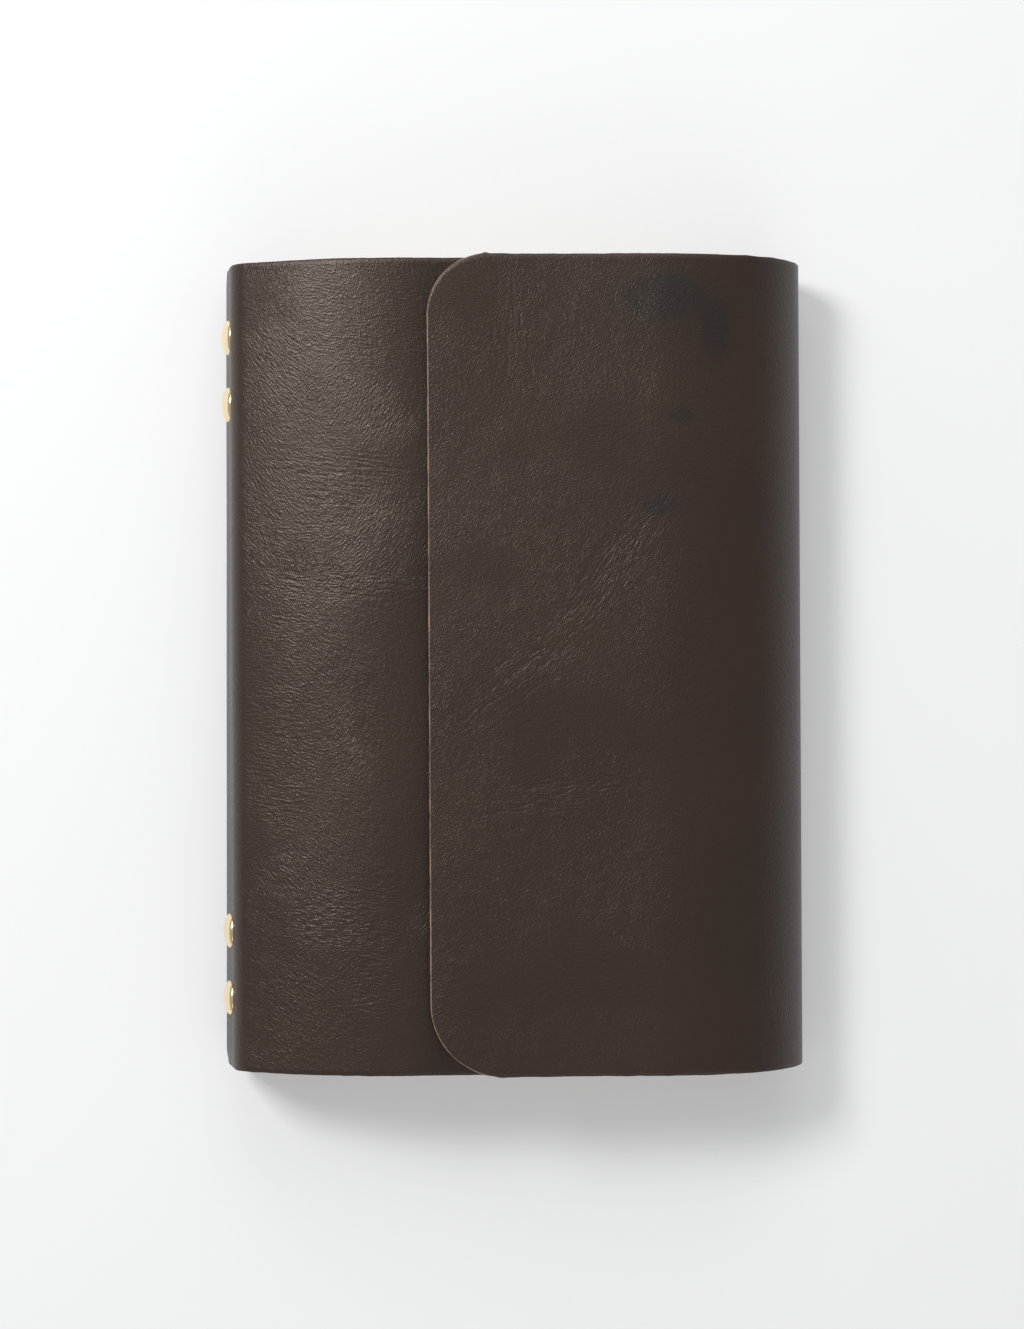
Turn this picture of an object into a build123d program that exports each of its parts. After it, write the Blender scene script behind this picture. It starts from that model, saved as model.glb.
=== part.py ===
from build123d import *
import os
from math import asin, cos, degrees, radians, sin, sqrt

# Wrap-around leather notebook cover, closed, lying on its back cover.
# +X points from the spine to the fore-edge, +Y along the spine, +Z up from the table.
# The origin is on the table, under the middle of the back cover's cut length.

os.makedirs("parts", exist_ok=True)

# ---- cover: one sheet of leather, described by its middle line ----
cover_height = 190.0
leather = 2.0
hinge_gap = 0.1
flap_corner_top = 14.0
flap_corner_bottom = 17.0
front_corner = 8.0

back_to_spine = 58.7  # flat back, from the origin to the bend below the spine
back_to_fore_edge = 55.2  # flat back, from the origin to the bend below the fore-edge

# Each stretch of the sheet is (length, turn in degrees), measured on its middle line.
spine_low_bend = (14.69, 99.0)
spine_flat = (8.8, 0.0)
spine_high_bend = (5.2, 55.0)
front_crown = (42.0, 29.8)
front_flat = (72.0, 0.0)
fore_edge_low_bend = (18.85, 90.0)
fore_edge_high_bend = [(6.6, 30.9), (16.3, 37.3), (22.4, 21.8)]
flap_flat = (51.3, 0.0)
flap_hinge_along_bend = 15.57  # from the start of the upper bend at the fore-edge

spine_side = [(back_to_spine, 0.0), spine_low_bend, spine_flat, spine_high_bend, front_crown, front_flat]
fore_edge_side = [(back_to_fore_edge, 0.0), fore_edge_low_bend, *fore_edge_high_bend, flap_flat]

# ---- rivets through the spine ----
rivet_places = {"top_outer": 78.4, "top_inner": 62.5, "bottom_inner": -62.5, "bottom_outer": -78.4}
rivet_along_flat = 5.0  # from the start of the spine's flat
rivet_cap_r = 4.1
rivet_cap_height = 1.9
rivet_rim = 0.5
rivet_post_r = 1.5
rivet_hole_r = 1.6
rivet_back_r = 2.5
rivet_back_height = 0.8
rivet_back_fillet = 0.35

# ---- ring mechanism: arched plate, two blades, six rings in halves, two levers ----
plate_stand_off = 1.0
plate_length = 168.0
plate_base = 12.8
plate_crown = 12.2
plate_height = 4.0
plate_sheet = 0.8
plate_fillet = 1.2
ring_r = 8.7
wire_r = 1.2
ring_above_plate = 7.8
ring_places = [25.5, 44.5, 63.5]
ring_gap_angle = 0.2
slot_width = 4.2
slot_length = 3.0
blade_length = 162.0
blade_sheet = 0.8
blade_pivot = 4.9  # sideways from the middle of the plate
blade_level = 1.5  # height of the blades' middle above the plate's base
blade_gap = 0.4
post_clearance = 0.7
lever_width = 7.0
lever_sheet = 1.0
lever_pivot_y = 84.8
lever_reach = 6.2
lever_rise = 7.6
lever_tail = 2.6
lever_bend = (0.55, 0.62)  # shares of its reach and rise at which a lever bends again
lever_tip_r = 2.0

# ---- pages, as two blocks that turn about the middle of the rings ----
page_width = 95.0
page_length = 171.0
block_thickness = 6.45
block_gap = 0.15
hole_r = 3.0
hole_to_edge = 5.5
page_corner = 3.0
page_slope = 2.6  # degrees down, away from the rings


def walk(start, heading, stretches):
    """The places (x, z, heading) at the ends of a run of stretches; turns are anticlockwise."""
    places = [(start[0], start[1], heading)]
    for length, turn in stretches:
        x, z, angle = places[-1]
        half = radians(turn / 2)
        chord = length * (sin(half) / half if turn else 1.0)
        middle = radians(angle) + half
        places.append((x + chord * cos(middle), z + chord * sin(middle), angle + turn))
    return places


def between(stretches, first, last):
    """The part of a run of stretches from one distance along it to another."""
    out = []
    done = 0.0
    for length, turn in stretches:
        begin = max(first, done)
        end = min(last, done + length)
        if end > begin:
            out.append((end - begin, turn * (end - begin) / length))
        done += length
    return out


def strip_outline(place, stretches, half_thickness):
    """Lines and arcs round a strip of sheet that starts at a place (x, z, heading)."""
    x, z, heading = place
    faces = []
    for side in (half_thickness, -half_thickness):
        at = (x - side * sin(radians(heading)), z + side * cos(radians(heading)))
        angle = heading
        first = at
        for length, turn in stretches:
            length_here = length - side * radians(turn)
            ahead = (cos(radians(angle)), sin(radians(angle)))
            if turn:
                edge = JernArc(at, ahead, length_here / abs(radians(turn)), turn)
            else:
                edge = Line(at, (at[0] + length * ahead[0], at[1] + length * ahead[1]))
            at = edge @ 1
            at = (at.X, at.Y)
            angle += turn
        faces.append((first, at))
    Line(faces[0][0], faces[1][0])
    Line(faces[0][1], faces[1][1])


def turned(stretches, sense):
    """The same stretches, turning to the left (1) or to the right (-1)."""
    return [(length, sense * turn) for length, turn in stretches]


def panel_outline(stretches, sense, first, last):
    """The outline of the panel between two distances from the middle of the back."""
    run = turned(stretches, sense)
    heading = 0.0 if sense > 0 else 180.0
    place = walk((0.0, leather / 2), heading, between(run, 0.0, first))[-1]
    strip_outline(place, between(run, first, last), leather / 2)


def place_at(stretches, sense, distance):
    """The place (x, z, heading) at a distance from the middle of the back."""
    heading = 0.0 if sense > 0 else 180.0
    return walk((0.0, leather / 2), heading, between(turned(stretches, sense), 0.0, distance))[-1]


def outer_point(place, sense):
    """The point on the outer face of the sheet at a place."""
    x, z, heading = place
    side = -sense * leather / 2
    return (x - side * sin(radians(heading)), z + side * cos(radians(heading)))


# Distances along the sheet, from the middle of the back, at which it hinges.
spine_hinge_at = back_to_spine + spine_low_bend[0] / 2
spine_flat_at = back_to_spine + spine_low_bend[0]
shoulder_hinge_at = spine_flat_at + spine_flat[0] + spine_high_bend[0] / 2
crown_at = spine_flat_at + spine_flat[0] + spine_high_bend[0]
front_hinge_at = crown_at + front_crown[0] / 2
front_end_at = crown_at + front_crown[0] + front_flat[0]
fore_edge_hinge_at = back_to_fore_edge + fore_edge_low_bend[0] / 2
flap_bend_at = back_to_fore_edge + fore_edge_low_bend[0]
flap_hinge_at = flap_bend_at + flap_hinge_along_bend
flap_end_at = flap_bend_at + sum(length for length, turn in fore_edge_high_bend) + flap_flat[0]

hinges = {
    "spine": outer_point(place_at(spine_side, -1, spine_hinge_at), -1),
    "shoulder": outer_point(place_at(spine_side, -1, shoulder_hinge_at), -1),
    "front": outer_point(place_at(spine_side, -1, front_hinge_at), -1),
    "fore_edge": outer_point(place_at(fore_edge_side, 1, fore_edge_hinge_at), 1),
    "flap": outer_point(place_at(fore_edge_side, 1, flap_hinge_at), 1),
}

# The rivet line: a plane on the spine's inner face, its z into the book and its x along +Y.
rivet_x, rivet_z, spine_heading = place_at(spine_side, -1, spine_flat_at + rivet_along_flat)
into_book = Vector(sin(radians(spine_heading)), 0, -cos(radians(spine_heading)))
inner_face = Vector(rivet_x, 0, rivet_z) + into_book * (leather / 2)
spine_plane = Plane(origin=inner_face, x_dir=(0, 1, 0), z_dir=into_book)
plate_plane = spine_plane.offset(plate_stand_off)
# Seen along the spine: local x is sideways across the spine, local y is into the book.
section_plane = Plane(origin=plate_plane.origin, x_dir=spine_plane.y_dir, z_dir=(0, 1, 0))
upward = 1 if section_plane.x_dir.Z > 0 else -1
into = 1 if section_plane.y_dir.dot(into_book) > 0 else -1
ring_level = plate_height + ring_above_plate
ring_centre = plate_plane.origin + into_book * ring_level

print("hinge axes (x, z):", {name: (round(x, 3), round(z, 3)) for name, (x, z) in hinges.items()})
print("ring centre:", round(ring_centre.X, 3), round(ring_centre.Z, 3), "spine heading", spine_heading)
print("sheet cut length:", round(front_end_at + flap_end_at, 1), "x", cover_height)


def finish(part, name):
    """Label a finished piece and write it as its own node."""
    part.label = name
    export_step(part, f"parts/{name}.step")


# ---- cover panels ----
with BuildPart() as cover_back:
    with BuildSketch(Plane.XZ):
        with BuildLine():
            panel_outline(spine_side, -1, 0.0, spine_hinge_at - hinge_gap / 2)
        make_face()
        with BuildLine():
            panel_outline(fore_edge_side, 1, 0.0, fore_edge_hinge_at - hinge_gap / 2)
        make_face()
    extrude(amount=cover_height / 2, both=True)
finish(cover_back.part, "cover_back")

with BuildPart() as cover_spine:
    with BuildSketch(Plane.XZ):
        with BuildLine():
            panel_outline(
                spine_side, -1, spine_hinge_at + hinge_gap / 2, shoulder_hinge_at - hinge_gap / 2
            )
        make_face()
    extrude(amount=cover_height / 2, both=True)
    with BuildSketch(spine_plane):
        with Locations(*[(y, 0) for y in rivet_places.values()]):
            Circle(rivet_hole_r)
    extrude(amount=leather * 2, both=True, mode=Mode.SUBTRACT)
finish(cover_spine.part, "cover_spine")

with BuildPart() as cover_shoulder:
    with BuildSketch(Plane.XZ):
        with BuildLine():
            panel_outline(
                spine_side, -1, shoulder_hinge_at + hinge_gap / 2, front_hinge_at - hinge_gap / 2
            )
        make_face()
    extrude(amount=cover_height / 2, both=True)
finish(cover_shoulder.part, "cover_shoulder")

with BuildPart() as cover_front:
    with BuildSketch(Plane.XZ):
        with BuildLine():
            panel_outline(spine_side, -1, front_hinge_at + hinge_gap / 2, front_end_at)
        make_face()
    extrude(amount=cover_height / 2, both=True)
    across_sheet = cover_front.edges().filter_by(lambda edge: abs(edge.length - leather) < 0.01)
    fillet(across_sheet.group_by(Axis.X)[-1], radius=front_corner)
finish(cover_front.part, "cover_front")

with BuildPart() as cover_fore_edge:
    with BuildSketch(Plane.XZ):
        with BuildLine():
            panel_outline(
                fore_edge_side, 1, fore_edge_hinge_at + hinge_gap / 2, flap_hinge_at - hinge_gap / 2
            )
        make_face()
    extrude(amount=cover_height / 2, both=True)
finish(cover_fore_edge.part, "cover_fore_edge")

with BuildPart() as cover_flap:
    with BuildSketch(Plane.XZ):
        with BuildLine():
            panel_outline(fore_edge_side, 1, flap_hinge_at + hinge_gap / 2, flap_end_at)
        make_face()
    extrude(amount=cover_height / 2, both=True)
    free_corners = cover_flap.edges().filter_by(Axis.Z).group_by(Axis.X)[0]
    fillet(free_corners.sort_by(Axis.Y)[-1], radius=flap_corner_top)
    free_corners = cover_flap.edges().filter_by(Axis.Z).group_by(Axis.X)[0]
    fillet(free_corners.sort_by(Axis.Y)[0], radius=flap_corner_bottom)
finish(cover_flap.part, "cover_flap")

# ---- rivets: a domed cap with its post outside, and a flat back cap on the plate ----
dome_height = rivet_cap_height - rivet_rim
dome_r = (rivet_cap_r**2 + dome_height**2) / (2 * dome_height)
post_length = leather + plate_stand_off + plate_height

for name, y in rivet_places.items():
    rivet_foot = spine_plane.origin + Vector(0, y, 0)
    axis_plane = Plane(origin=rivet_foot, x_dir=(0, 1, 0), z_dir=into_book)
    profile_plane = Plane(origin=rivet_foot, x_dir=(0, 1, 0), z_dir=into_book.cross(Vector(0, 1, 0)))
    sense = 1 if profile_plane.y_dir.dot(into_book) > 0 else -1
    outside = -leather * sense

    with BuildPart() as rivet:
        with BuildSketch(profile_plane):
            with BuildLine():
                foot = (0, outside + post_length * sense)
                Polyline(
                    (0, outside - rivet_cap_height * sense),
                    foot,
                    (rivet_post_r, foot[1]),
                    (rivet_post_r, outside),
                    (rivet_cap_r, outside),
                    (rivet_cap_r, outside - rivet_rim * sense),
                )
                CenterArc(
                    (0, outside + (dome_r - rivet_cap_height) * sense),
                    dome_r,
                    -90 * sense,
                    sense * degrees(asin(rivet_cap_r / dome_r)),
                )
            make_face()
        revolve(axis=Axis(axis_plane.origin, into_book))
    finish(rivet.part, f"rivet_{name}")

    with BuildPart() as rivet_back:
        with BuildSketch(axis_plane.offset(plate_stand_off + plate_height)):
            Circle(rivet_back_r)
        extrude(amount=rivet_back_height)
        rims = rivet_back.edges().sort_by(SortBy.LENGTH)[-2:]
        fillet(rims.sort_by(Axis.X)[-1], radius=rivet_back_fillet)
    finish(rivet_back.part, f"rivet_back_{name}")


# ---- ring mechanism ----
leg_side = sqrt(ring_r**2 - ring_above_plate**2)


def plate_outline(inset):
    """Arched section: a wide base narrowing to a flat crown, drawn a distance inside the outer face."""
    half_base = plate_base / 2 - inset
    half_crown = plate_crown / 2 - inset
    crown = (plate_height - inset) * into
    Polyline((-half_base, 0), (-half_crown, crown), (half_crown, crown), (half_base, 0), close=True)


with BuildPart() as ring_plate:
    with BuildSketch(section_plane):
        with BuildLine():
            plate_outline(0.0)
        make_face()
    extrude(amount=plate_length / 2, both=True)
    fillet(ring_plate.edges().filter_by(Axis.Y).sort_by(Axis.X)[-2:], radius=plate_fillet)
    with BuildSketch(section_plane):
        with BuildLine():
            plate_outline(plate_sheet)
        make_face()
    extrude(amount=plate_length, both=True, mode=Mode.SUBTRACT)
    with BuildSketch(plate_plane.offset(plate_height)):
        for y in ring_places:
            with Locations((y, leg_side), (y, -leg_side), (-y, leg_side), (-y, -leg_side)):
                Rectangle(slot_length, slot_width)
        with Locations(*[(y, 0) for y in rivet_places.values()]):
            Circle(rivet_hole_r)
    extrude(amount=plate_sheet * 2, both=True, mode=Mode.SUBTRACT)
finish(ring_plate.part, "ring_plate")

ring_order = sorted([-y for y in ring_places] + ring_places, reverse=True)
ring_half_angle = 180.0 - degrees(asin(leg_side / ring_r)) - ring_gap_angle

for side, word in ((1, "upper"), (-1, "lower")):
    reach = side * upward

    with BuildPart() as blade:
        with BuildSketch(section_plane):
            with Locations((reach * (blade_gap / 2 + blade_pivot) / 2, into * blade_level)):
                Rectangle(blade_pivot - blade_gap / 2, blade_sheet)
        extrude(amount=blade_length / 2, both=True)
        with BuildSketch(plate_plane):
            with Locations(*[(y, 0) for y in rivet_places.values()]):
                Circle(rivet_post_r + post_clearance)
        extrude(amount=plate_height, mode=Mode.SUBTRACT)
    finish(blade.part, f"ring_blade_{word}")

    leg_foot = blade_level + blade_sheet / 2
    sideways = section_plane.x_dir * reach
    for number, y in enumerate(ring_order, start=1):
        centre = ring_centre + Vector(0, y, 0)
        knee = centre - into_book * ring_above_plate + sideways * leg_side
        first_ray = into_book * cos(radians(ring_gap_angle)) + sideways * sin(radians(ring_gap_angle))
        with BuildPart() as half_ring:
            with Locations(Plane(origin=centre, x_dir=first_ray, z_dir=into_book.cross(sideways))):
                Torus(ring_r, wire_r, major_angle=ring_half_angle, align=None)
            with Locations(knee):
                Sphere(wire_r)
            with BuildSketch(Plane(origin=knee, x_dir=(0, 1, 0), z_dir=-into_book)):
                Circle(wire_r)
            extrude(amount=plate_height - leg_foot)
        finish(half_ring.part, f"half_ring_{word}_{number}")

for end, word in ((1, "top"), (-1, "bottom")):
    lever_plane = Plane(
        origin=plate_plane.origin + Vector(0, end * lever_pivot_y, 0),
        x_dir=(0, end, 0),
        z_dir=Vector(0, end, 0).cross(into_book),
    )
    with BuildPart() as lever:
        with BuildSketch(lever_plane):
            with BuildLine():
                Polyline(
                    (-lever_tail, blade_level),
                    (0, blade_level),
                    (lever_reach * lever_bend[0], blade_level + lever_rise * lever_bend[1]),
                    (lever_reach, blade_level + lever_rise),
                )
            trace(line_width=lever_sheet)
        extrude(amount=lever_width / 2, both=True)
        tip = lever.faces().sort_by(Axis((0, 0, 0), (0, end, 0)))[-1]
        fillet(tip.edges().sort_by(SortBy.LENGTH)[:2], radius=lever_tip_r)
    finish(lever.part, f"ring_lever_{word}")

# ---- page blocks ----
for side, word in ((1, "upper"), (-1, "lower")):
    along = Vector(cos(radians(page_slope)), 0, -sin(radians(page_slope)))
    page_plane = Plane(origin=ring_centre, x_dir=along, z_dir=along.cross(Vector(0, 1, 0)))
    near_edge = ring_r - hole_to_edge
    with BuildPart() as pages:
        with BuildSketch(page_plane.offset(side * block_gap)):
            with Locations((near_edge + page_width / 2, 0)):
                Rectangle(page_width, page_length)
        extrude(amount=side * block_thickness)
        upright = pages.edges().filter_by(Axis(ring_centre, page_plane.z_dir))
        fillet(upright.group_by(Axis.X)[-1], radius=page_corner)
        for y in ring_places:
            for place in (y, -y):
                with Locations(Plane(origin=ring_centre + Vector(0, place, 0), z_dir=(0, 1, 0))):
                    Torus(ring_r, hole_r, mode=Mode.SUBTRACT)
    finish(pages.part, f"pages_{word}")
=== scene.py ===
# %% [markdown]
# # A wrap-around leather notebook cover
# The object is one thick sheet of cowhide that folds round a small ring book: back, spine and front, then a
# flap that comes round the fore-edge and lies over the front. Four domed rivets in the spine hold the ring
# mechanism inside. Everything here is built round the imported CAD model, in metres, in its frame: +X runs from
# the spine to the fore-edge, +Y along the spine and +Z up from the table.

# %% Load the frame
from math import cos, pi, radians, sin

import bmesh
import bpy
import numpy as np
from mathutils import Euler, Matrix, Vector


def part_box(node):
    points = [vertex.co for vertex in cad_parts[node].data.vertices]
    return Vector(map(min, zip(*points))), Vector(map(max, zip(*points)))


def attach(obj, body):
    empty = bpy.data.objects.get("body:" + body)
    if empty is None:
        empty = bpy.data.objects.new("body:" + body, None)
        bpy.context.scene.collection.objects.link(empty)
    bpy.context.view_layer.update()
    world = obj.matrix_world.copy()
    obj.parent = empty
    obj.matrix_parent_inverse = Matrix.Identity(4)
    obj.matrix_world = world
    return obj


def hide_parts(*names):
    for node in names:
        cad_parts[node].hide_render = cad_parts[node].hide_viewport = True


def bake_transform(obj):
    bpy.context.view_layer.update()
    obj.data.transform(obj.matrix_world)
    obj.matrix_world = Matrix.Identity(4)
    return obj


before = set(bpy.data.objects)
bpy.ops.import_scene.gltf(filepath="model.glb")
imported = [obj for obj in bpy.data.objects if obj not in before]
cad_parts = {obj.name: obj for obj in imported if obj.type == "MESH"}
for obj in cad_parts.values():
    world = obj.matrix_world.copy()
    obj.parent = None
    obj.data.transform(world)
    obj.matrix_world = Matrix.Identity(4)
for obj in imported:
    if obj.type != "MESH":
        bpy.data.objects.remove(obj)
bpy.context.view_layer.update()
MM = 0.001

# %% [markdown]
# ## Camera, table and light
# A flat object is best seen straight from above, with the lens a few object-lengths away so that its top faces
# look only a little larger than the lower ones. The table is a plain pale sheet that glows faintly. One soft light
# stands up and to the left, and weaker ones fill the other sides, because polished leather shows its grain only
# where a broad light grazes it.

# %% Camera straight above the book
CAMERA_AT = (-0.0006, 0.0004, 0.6955)  # metres, the last above the table
CAMERA_ROLL = -0.3  # degrees
SENSOR_HEIGHT, FOCAL_LENGTH = 36.0, 77.42  # millimetres
camera_data = bpy.data.cameras.new("camera")
camera_data.sensor_fit = "VERTICAL"
camera_data.sensor_height = SENSOR_HEIGHT
camera_data.lens = FOCAL_LENGTH
camera = bpy.data.objects.new("camera", camera_data)
camera.location = CAMERA_AT
camera.rotation_euler = Euler((0.0, 0.0, radians(CAMERA_ROLL)))
bpy.context.scene.collection.objects.link(camera)
bpy.context.scene.camera = camera
bpy.context.scene.view_settings.view_transform = "Standard"
print("camera", tuple(round(c, 4) for c in camera.location))


# %% [markdown]
# ### Small helpers for node trees
# A material is a graph of nodes. One helper adds a node with its settings and links, and one turns an sRGB hex
# colour, as a designer would write it, into the linear values that Blender computes with. The settings that come
# back most often have names of their own.

# %% Helpers: a node, a colour, a material
def add(tree, kind, settings=None, **inputs):
    """Add a node of a kind, with its settings, and fill its inputs with values or with other sockets."""
    node = tree.nodes.new(kind)
    for name, value in (settings or {}).items():
        setattr(node, name, value)
    for name, value in inputs.items():
        key = int(name[1:]) if name[0] == "i" and name[1:].isdigit() else name.replace("_", " ")
        socket = node.inputs[key]
        if isinstance(value, bpy.types.NodeSocket):
            tree.links.new(value, socket)
        else:
            socket.default_value = value
    return node


def colour(hex_code, alpha=1.0):
    """An sRGB hex colour as linear RGBA."""
    parts = [int(hex_code[i:i + 2], 16) / 255 for i in (0, 2, 4)]
    linear = [c / 12.92 if c <= 0.04045 else ((c + 0.055) / 1.055) ** 2.4 for c in parts]
    return (*linear, alpha)


def new_material(name):
    """An empty material with a Principled shader wired to its output."""
    material = bpy.data.materials.new(name)
    material.use_nodes = True
    tree = material.node_tree
    tree.nodes.clear()
    output = tree.nodes.new("ShaderNodeOutputMaterial")
    shader = tree.nodes.new("ShaderNodeBsdfPrincipled")
    tree.links.new(shader.outputs["BSDF"], output.inputs["Surface"])
    return material, tree, shader


PLUS, MINUS, TIMES, DIVIDED, LARGER, SIZE, ROOT, PINGPONG = (
    {"operation": operation}
    for operation in ("ADD", "SUBTRACT", "MULTIPLY", "DIVIDE", "MAXIMUM", "ABSOLUTE", "SQRT", "PINGPONG")
)
FLAT_NOISE = {"noise_dimensions": "2D"}
SMOOTH_STEP = {"interpolation_type": "SMOOTHSTEP"}
TEXTURE_SPACE = {"vector_type": "TEXTURE"}
NUMBERS, COLOURS = {"data_type": "FLOAT"}, {"data_type": "RGBA"}


def link_mesh(name, verts, faces):
    """A mesh object in the scene, whose points are already in their places."""
    mesh = bpy.data.meshes.new(name)
    mesh.from_pydata([tuple(v) for v in verts], [], faces)
    mesh.update()
    item = bpy.data.objects.new(name, mesh)
    bpy.context.scene.collection.objects.link(item)
    return item


# %% Table
# Pale and matte, with a faint glow of its own, so that the shadows on it stay soft and light.
TABLE_HALF, TABLE_TOP = 3.0, -0.0002  # metres
table_material, tree, shader = new_material("backlit white acrylic")
shader.inputs["Base Color"].default_value = colour("cfcfcf")
shader.inputs["Emission Color"].default_value = colour("ffffff")
shader.inputs["Emission Strength"].default_value = 0.24
shader.inputs["Roughness"].default_value = 0.9
shader.inputs["Specular IOR Level"].default_value = 0.2
table_corners = [(x * TABLE_HALF, y * TABLE_HALF, TABLE_TOP) for x, y in ((-1, -1), (1, -1), (1, 1), (-1, 1))]
table = link_mesh("table", table_corners, [(0, 1, 2, 3)])
table.data.materials.append(table_material)


# %% Soft studio light
LIGHT_TARGET = (0, 0, 0.02)
WORLD_STRENGTH = 0.43


def soft_light(name, place, size, power):
    """A rectangular area light aimed at the middle of the book. Metres and watts."""
    data = bpy.data.lights.new(name, "AREA")
    data.shape = "RECTANGLE"
    data.size, data.size_y = size
    data.energy = power
    lamp = bpy.data.objects.new(name, data)
    lamp.location = place
    lamp.rotation_euler = (Vector(LIGHT_TARGET) - Vector(place)).to_track_quat("-Z", "Y").to_euler()
    bpy.context.scene.collection.objects.link(lamp)


soft_light("key, upper left", (-0.58, 0.50, 0.9), (0.34, 0.34), 9.5)
soft_light("back, beyond the top edge", (0.05, 1.25, 0.95), (1.0, 0.8), 5.5)
soft_light("fill, below and right", (0.35, -1.3, 0.9), (1.2, 0.8), 2.5)
world = bpy.data.worlds.new("studio")
world.use_nodes = True
world.node_tree.nodes["Background"].inputs["Color"].default_value = colour("fbfcff")
world.node_tree.nodes["Background"].inputs["Strength"].default_value = WORLD_STRENGTH
bpy.context.scene.world = world

# %% [markdown]
# ## The shape of the sheet
# A cover like this is cut flat and then folded, so it is easiest to describe as its maker would: a run of
# stretches along the middle of the leather's thickness, each with a length and the angle that it turns through.
# A distance along the sheet and a height along the spine then say where any point of the leather is. The
# distance is counted from the middle of the back, positive to the fore-edge and negative to the spine.

# %% Stretches of the folded sheet, in millimetres and degrees
THICKNESS = 2.0
HALF = THICKNESS / 2
HALF_HEIGHT = 95.0
TO_SPINE, SPINE_BEND, SPINE_FLAT, HIGH_BEND = 58.7, 14.69, 8.8, 5.2
TO_FORE_EDGE, FORE_EDGE_BEND = 55.2, 18.85
spine_side = [(TO_SPINE, 0), (SPINE_BEND, 99), (SPINE_FLAT, 0), (HIGH_BEND, 55), (42.0, 29.8), (72.0, 0)]
fore_edge_side = [
    (TO_FORE_EDGE, 0), (FORE_EDGE_BEND, 90), (6.6, 30.9), (16.3, 37.3), (22.4, 21.8), (51.3, 0)
]
FRONT_END = -sum(length for length, turn in spine_side)
FLAP_END = sum(length for length, turn in fore_edge_side)
spine_flat_at = TO_SPINE + SPINE_BEND
crown_at = spine_flat_at + SPINE_FLAT + HIGH_BEND
print("cut sheet:", round(FLAP_END - FRONT_END, 1), "x", 2 * HALF_HEIGHT, "mm")


def middle_line(distance, stretches, sense):
    """Places (x, z) and headings on the middle line of the folded sheet, for an array of distances."""
    x, z, heading = 0.0, THICKNESS / 2, 0.0 if sense > 0 else pi
    at_x, at_z, at_h = (np.zeros_like(distance) for _ in range(3))
    done = 0.0
    for length, turn in stretches:
        bend = sense * radians(turn) / length
        here = distance >= done - 1e-9
        run = distance[here] - done
        angle = heading + bend * run
        if turn:
            at_x[here] = x + (np.sin(angle) - sin(heading)) / bend
            at_z[here] = z - (np.cos(angle) - cos(heading)) / bend
            x += (sin(heading + bend * length) - sin(heading)) / bend
            z -= (cos(heading + bend * length) - cos(heading)) / bend
        else:
            at_x[here] = x + run * cos(heading)
            at_z[here] = z + run * sin(heading)
            x += length * cos(heading)
            z += length * sin(heading)
        at_h[here] = angle
        heading += bend * length
        done += length
    return at_x, at_z, at_h


def smooth(value, low, high):
    """0 below low, 1 above high, and a smooth rise between."""
    t = np.clip((value - low) / (high - low), 0, 1)
    return t * t * (3 - 2 * t)


# %% [markdown]
# ### Waves that a worn sheet keeps
# Thick leather never lies dead flat. Broad waves a few tenths of a millimetre high come from a sum of slow
# sines with a fixed seed, and the free corners of the flap lift a little, as a cut corner does when it dries.
# The spine bulges outwards, more towards the bottom.

# %% Gentle waves and lifted corners
wave_draw = np.random.default_rng(7)
waves = [  # direction, pitch, phase, depth
    (
        wave_draw.uniform(0, pi),
        wave_draw.uniform(28, 75),
        wave_draw.uniform(0, 2 * pi),
        wave_draw.uniform(0.03, 0.09),
    )
    for _ in range(9)
]
CORNER_LIFT, LOWER_CORNER_SHARE = 1.1, 0.8
EDGE_LIFT, EDGE_LIFT_REACH = 0.35, 34
CALM_WAVES = 0.1  # share of the waves that is left on the back and the spine
SPINE_BULGE, BULGE_SLANT, BULGE_END_LOSS = 1.0, 0.5, 0.35


def relief(distance, height):
    """How far the leather stands off its ideal fold, outwards, in millimetres."""
    total = np.zeros_like(distance)
    for direction, pitch, phase, depth in waves:
        along = distance * cos(direction) + height * sin(direction)
        total += depth * np.sin(2 * pi * along / pitch + phase)
    near_edge = smooth(distance, FLAP_END - EDGE_LIFT_REACH, FLAP_END)
    corners = smooth(height, 45, 95) + LOWER_CORNER_SHARE * smooth(-height, 50, 95)
    lift = near_edge * (EDGE_LIFT + CORNER_LIFT * corners)
    wavy = smooth(np.abs(distance), 84, 100)
    on_spine = smooth(-distance, 60, 68) * (1 - smooth(-distance, 69, 86))
    bulge = on_spine * (SPINE_BULGE - BULGE_SLANT * height / HALF_HEIGHT)
    bulge *= 1 - BULGE_END_LOSS * smooth(np.abs(height), 91, 95)
    return total * (CALM_WAVES + (1 - CALM_WAVES) * wavy) + lift + bulge


NEAR_TABLE = 6  # below this the leather is kept from sinking into the table


def on_sheet(distance, height, offset):
    """Points in the CAD model's frame, in metres, for distances, heights and offsets out from the middle."""
    x, z, heading = np.zeros_like(distance), np.zeros_like(distance), np.zeros_like(distance)
    right = distance >= 0
    for mask, stretches, sense in ((right, fore_edge_side, 1), (~right, spine_side, -1)):
        x[mask], z[mask], heading[mask] = middle_line(np.abs(distance[mask]), stretches, sense)
    sense = np.where(right, 1.0, -1.0)
    out_x, out_z = sense * np.sin(heading), -sense * np.cos(heading)
    off = offset + relief(distance, height)
    sunk = (z < NEAR_TABLE) & (z + out_z * off < 0)
    off = np.where(sunk, -z / np.where(out_z == 0, -1, out_z), off)
    return np.stack([x + off * out_x, height, z + off * out_z], axis=-1) * MM


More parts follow.
